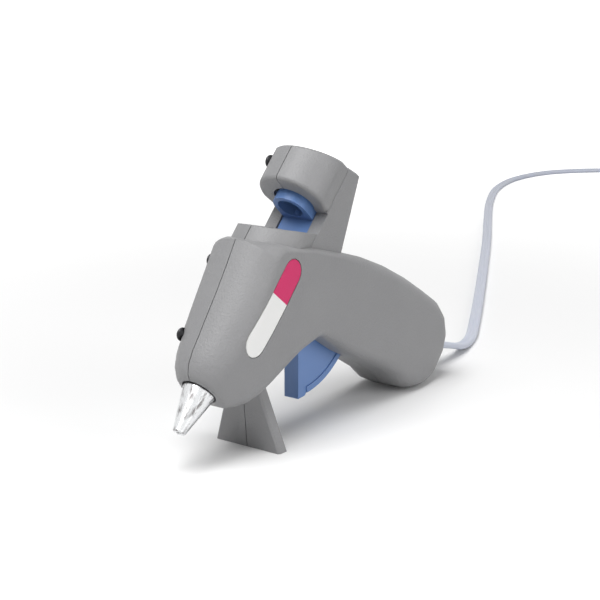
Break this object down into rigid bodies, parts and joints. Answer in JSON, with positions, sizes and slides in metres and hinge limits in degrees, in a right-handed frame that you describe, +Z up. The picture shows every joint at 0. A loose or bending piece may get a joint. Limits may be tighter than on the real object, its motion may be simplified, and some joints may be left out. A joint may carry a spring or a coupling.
{
  "type": "hot glue gun",
  "caption": "Small trigger-fed hot glue gun standing on its foot and butt, with a blue feeder and trigger, an alloy nozzle and a flat twin cord laid out to a tied coil and plug.",
  "frame": {"origin": "on the table, under the middle of the gun's bounding box (the cord left out)", "axes": "+X from the nozzle to the butt, +Z up as the gun stands, the label on the -Y side"},
  "size_m": [0.716, 0.2264, 0.108],
  "materials": {
    "housing_grey": "fine satin moulding texture",
    "feed_blue": "smooth moulded",
    "nozzle_alloy": "turned and polished",
    "barrel_alloy": "as cast",
    "spring_steel": "bright drawn",
    "screw_black": "black oxide",
    "collar_black": "moulded resin",
    "sleeve_silicone": "moulded silicone",
    "heater_wrap": "wrapped film over ceramic",
    "lead_sleeving": "woven glass sleeving",
    "crimp_nylon": "moulded nylon",
    "label_film": "printed film, two colours, no lettering",
    "cord_vinyl": "soft extruded vinyl",
    "tie_vinyl": "soft strap",
    "blade_nickel": "plated"
  },
  "bodies": {
    "gun_body": {"housing_left": "housing_grey", "housing_right": "housing_grey", "label": "label_film", "nozzle": "nozzle_alloy", "nose_collar": "collar_black", "melt_barrel": "barrel_alloy", "heater": "heater_wrap", "heater_clip": "spring_steel", "stick_sleeve": "sleeve_silicone", "sleeve_clamp": "spring_steel", "trigger_pin": "spring_steel", "return_spring": "spring_steel", "housing_screw_1": "screw_black", "housing_screw_2": "screw_black", "housing_screw_3": "screw_black", "housing_screw_4": "screw_black", "housing_screw_5": "screw_black", "housing_screw_6": "screw_black", "heater_lead_1": "lead_sleeving", "heater_lead_2": "lead_sleeving", "lead_crimp_1": "crimp_nylon", "lead_crimp_2": "crimp_nylon", "cord_inside": "cord_vinyl", "cord_run": "cord_vinyl", "cord_coil": "cord_vinyl", "cord_tail": "cord_vinyl", "coil_tie": "tie_vinyl", "plug_body": "cord_vinyl", "plug_blade_1": "blade_nickel", "plug_blade_2": "blade_nickel"},
    "trigger": {"trigger": "feed_blue"},
    "feeder": {"feeder": "feed_blue", "feeder_pin": "spring_steel"}
  },
  "joints": [
    {"name": "trigger_pull", "type": "hinge", "parent": "gun_body", "child": "trigger", "pos_m": [-0.01266, 0, 0.05051], "axis": [0, -1, 0], "range_deg": [0, 24], "stiffness_Nm_per_rad": 0.05, "springref_deg": -34.38},
    {"name": "feeder_slide", "type": "slide", "parent": "gun_body", "child": "feeder", "axis": [-0.6769, 0, -0.7361], "range_m": [0, 0.005], "deforming": ["return_spring"]}
  ],
  "couplings": [
    {"joint": "feeder_slide", "follows": "trigger_pull", "m_per_rad": 0.0119}
  ]
}
